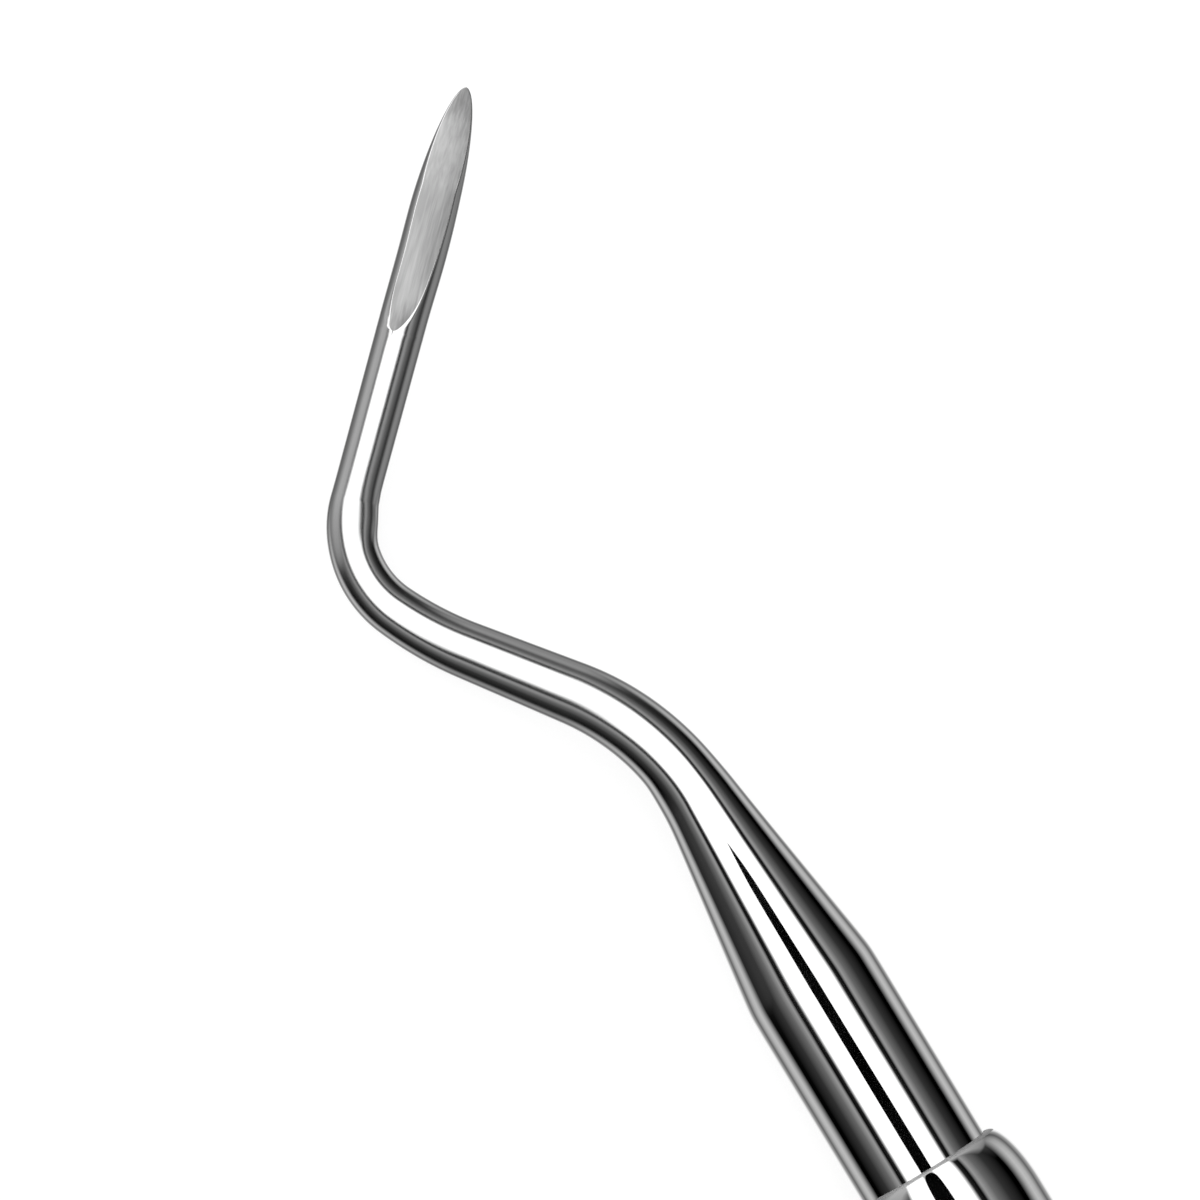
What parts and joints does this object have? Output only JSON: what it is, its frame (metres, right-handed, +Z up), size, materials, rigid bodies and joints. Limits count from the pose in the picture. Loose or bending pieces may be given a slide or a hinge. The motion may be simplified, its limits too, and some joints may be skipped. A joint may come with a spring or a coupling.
{
  "type": "root tip pick",
  "caption": "Angled root tip pick: a pointed blade with a flat ground face on a double-bent tapering shank, pressed into a smooth hollow round handle with a closed end.",
  "frame": {"origin": "centre of the bounding box on the surface that the pick lies on", "axes": "+X along the handle towards the blade, +Z up from the surface that the handle and the shank's knee lie on, the knee on the +Y side"},
  "size_m": [0.1652, 0.017, 0.0095],
  "materials": {
    "polished_stainless": "mirror-polished stainless steel, with a satin ground face on the blade",
    "handle_stainless": "mirror-polished stainless steel tube",
    "plug_stainless": "turned and polished stainless steel"
  },
  "bodies": {
    "root": {"working_end": "polished_stainless", "handle": "handle_stainless", "end_plug": "plug_stainless"}
  },
  "joints": []
}
